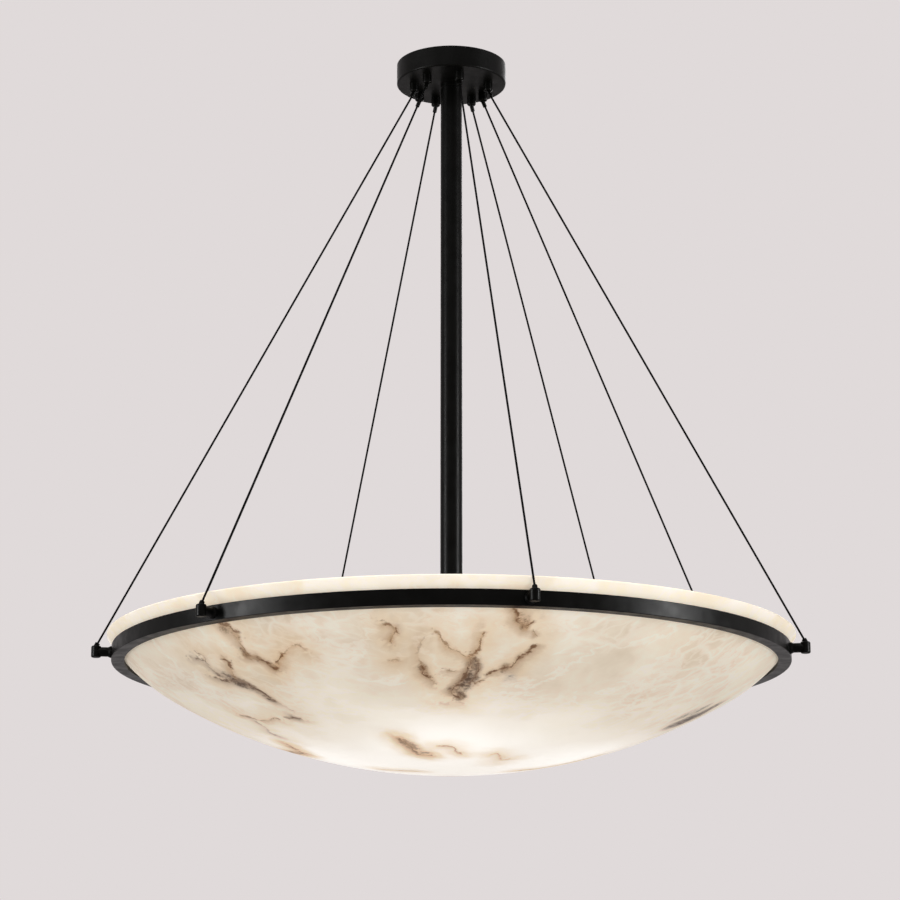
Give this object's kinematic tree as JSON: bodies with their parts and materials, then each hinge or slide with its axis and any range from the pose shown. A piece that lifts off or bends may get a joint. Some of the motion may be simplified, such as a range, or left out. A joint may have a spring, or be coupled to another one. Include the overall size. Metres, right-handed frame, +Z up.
{
  "type": "bowl pendant light",
  "caption": "Ceiling pendant light with a shallow veined bowl on a black ring hung by taut cables from a round canopy, with a centre stem that carries the lamps inside the bowl.",
  "frame": {"origin": "on the lamp's axis at the ceiling plane, in the middle of the strap's two slots", "axes": "+Z up into the ceiling, +X along the strap's slots, -Y towards the side that faces the viewer"},
  "size_m": [0.9401, 0.9248, 0.9955],
  "materials": {
    "black_steel": "satin black",
    "canopy_black": "satin black",
    "cable_black": "black coated wire rope",
    "alabaster": "honed, translucent",
    "zinc_steel": "zinc plated",
    "porcelain": "glazed",
    "bulb_brass": "bright",
    "bulb_glass": "frosted"
  },
  "bodies": {
    "fixture": {"canopy": "canopy_black", "mounting_bracket": "zinc_steel", "stem_nipple": "zinc_steel", "nipple_nuts": "zinc_steel", "stem_top_bush": "black_steel", "stem_tube": "black_steel", "support_ring": "black_steel", "bowl": "alabaster", "post_screws": "black_steel", "cable_end_studs": "black_steel", "grip_nuts": "zinc_steel", "cluster_body": "black_steel", "cluster_cover": "black_steel", "cluster_rod": "zinc_steel", "finial": "black_steel", "socket_nipples": "zinc_steel", "cable_1": "cable_black", "cable_grip_1": "black_steel", "cable_post_1": "black_steel", "cable_2": "cable_black", "cable_grip_2": "black_steel", "cable_post_2": "black_steel", "cable_3": "cable_black", "cable_grip_3": "black_steel", "cable_post_3": "black_steel", "cable_4": "cable_black", "cable_grip_4": "black_steel", "cable_post_4": "black_steel", "cable_5": "cable_black", "cable_grip_5": "black_steel", "cable_post_5": "black_steel", "cable_6": "cable_black", "cable_grip_6": "black_steel", "cable_post_6": "black_steel", "cable_7": "cable_black", "cable_grip_7": "black_steel", "cable_post_7": "black_steel", "cable_8": "cable_black", "cable_grip_8": "black_steel", "cable_post_8": "black_steel", "lampholder_1": "porcelain", "lampholder_2": "porcelain", "lampholder_3": "porcelain", "lampholder_4": "porcelain"},
    "plunger_1": {"grip_plunger_1": "black_steel"},
    "plunger_2": {"grip_plunger_2": "black_steel"},
    "plunger_3": {"grip_plunger_3": "black_steel"},
    "plunger_4": {"grip_plunger_4": "black_steel"},
    "plunger_5": {"grip_plunger_5": "black_steel"},
    "plunger_6": {"grip_plunger_6": "black_steel"},
    "plunger_7": {"grip_plunger_7": "black_steel"},
    "plunger_8": {"grip_plunger_8": "black_steel"},
    "bulb_1": {"bulb_cap_1": "bulb_brass", "bulb_glass_1": "bulb_glass"},
    "bulb_2": {"bulb_cap_2": "bulb_brass", "bulb_glass_2": "bulb_glass"},
    "bulb_3": {"bulb_cap_3": "bulb_brass", "bulb_glass_3": "bulb_glass"},
    "bulb_4": {"bulb_cap_4": "bulb_brass", "bulb_glass_4": "bulb_glass"}
  },
  "joints": [
    {"name": "plunger_1_press", "type": "slide", "parent": "fixture", "child": "plunger_1", "axis": [-0.3944, -0.2465, 0.8853], "range_m": [0, 0.002], "stiffness_N_per_m": 1500},
    {"name": "plunger_2_press", "type": "slide", "parent": "fixture", "child": "plunger_2", "axis": [-0.2533, -0.3901, 0.8853], "range_m": [0, 0.002], "stiffness_N_per_m": 1500},
    {"name": "plunger_3_press", "type": "slide", "parent": "fixture", "child": "plunger_3", "axis": [0.1966, -0.4215, 0.8853], "range_m": [0, 0.002], "stiffness_N_per_m": 1500},
    {"name": "plunger_4_press", "type": "slide", "parent": "fixture", "child": "plunger_4", "axis": [0.3987, -0.2395, 0.8853], "range_m": [0, 0.002], "stiffness_N_per_m": 1500},
    {"name": "plunger_5_press", "type": "slide", "parent": "fixture", "child": "plunger_5", "axis": [0.4606, 0.0647, 0.8853], "range_m": [0, 0.002], "stiffness_N_per_m": 1500},
    {"name": "plunger_6_press", "type": "slide", "parent": "fixture", "child": "plunger_6", "axis": [0.299, 0.3563, 0.8853], "range_m": [0, 0.002], "stiffness_N_per_m": 1500},
    {"name": "plunger_7_press", "type": "slide", "parent": "fixture", "child": "plunger_7", "axis": [-0.0967, 0.4549, 0.8853], "range_m": [0, 0.002], "stiffness_N_per_m": 1500},
    {"name": "plunger_8_press", "type": "slide", "parent": "fixture", "child": "plunger_8", "axis": [-0.4549, 0.0967, 0.8853], "range_m": [0, 0.002], "stiffness_N_per_m": 1500},
    {"name": "bulb_1_out", "type": "slide", "parent": "fixture", "child": "bulb_1", "axis": [1, 0, 0], "range_m": [0, 0.03]},
    {"name": "bulb_2_out", "type": "slide", "parent": "fixture", "child": "bulb_2", "axis": [0, 1, 0], "range_m": [0, 0.03]},
    {"name": "bulb_3_out", "type": "slide", "parent": "fixture", "child": "bulb_3", "axis": [-1, 0, 0], "range_m": [0, 0.03]},
    {"name": "bulb_4_out", "type": "slide", "parent": "fixture", "child": "bulb_4", "axis": [0, -1, 0], "range_m": [0, 0.03]}
  ]
}
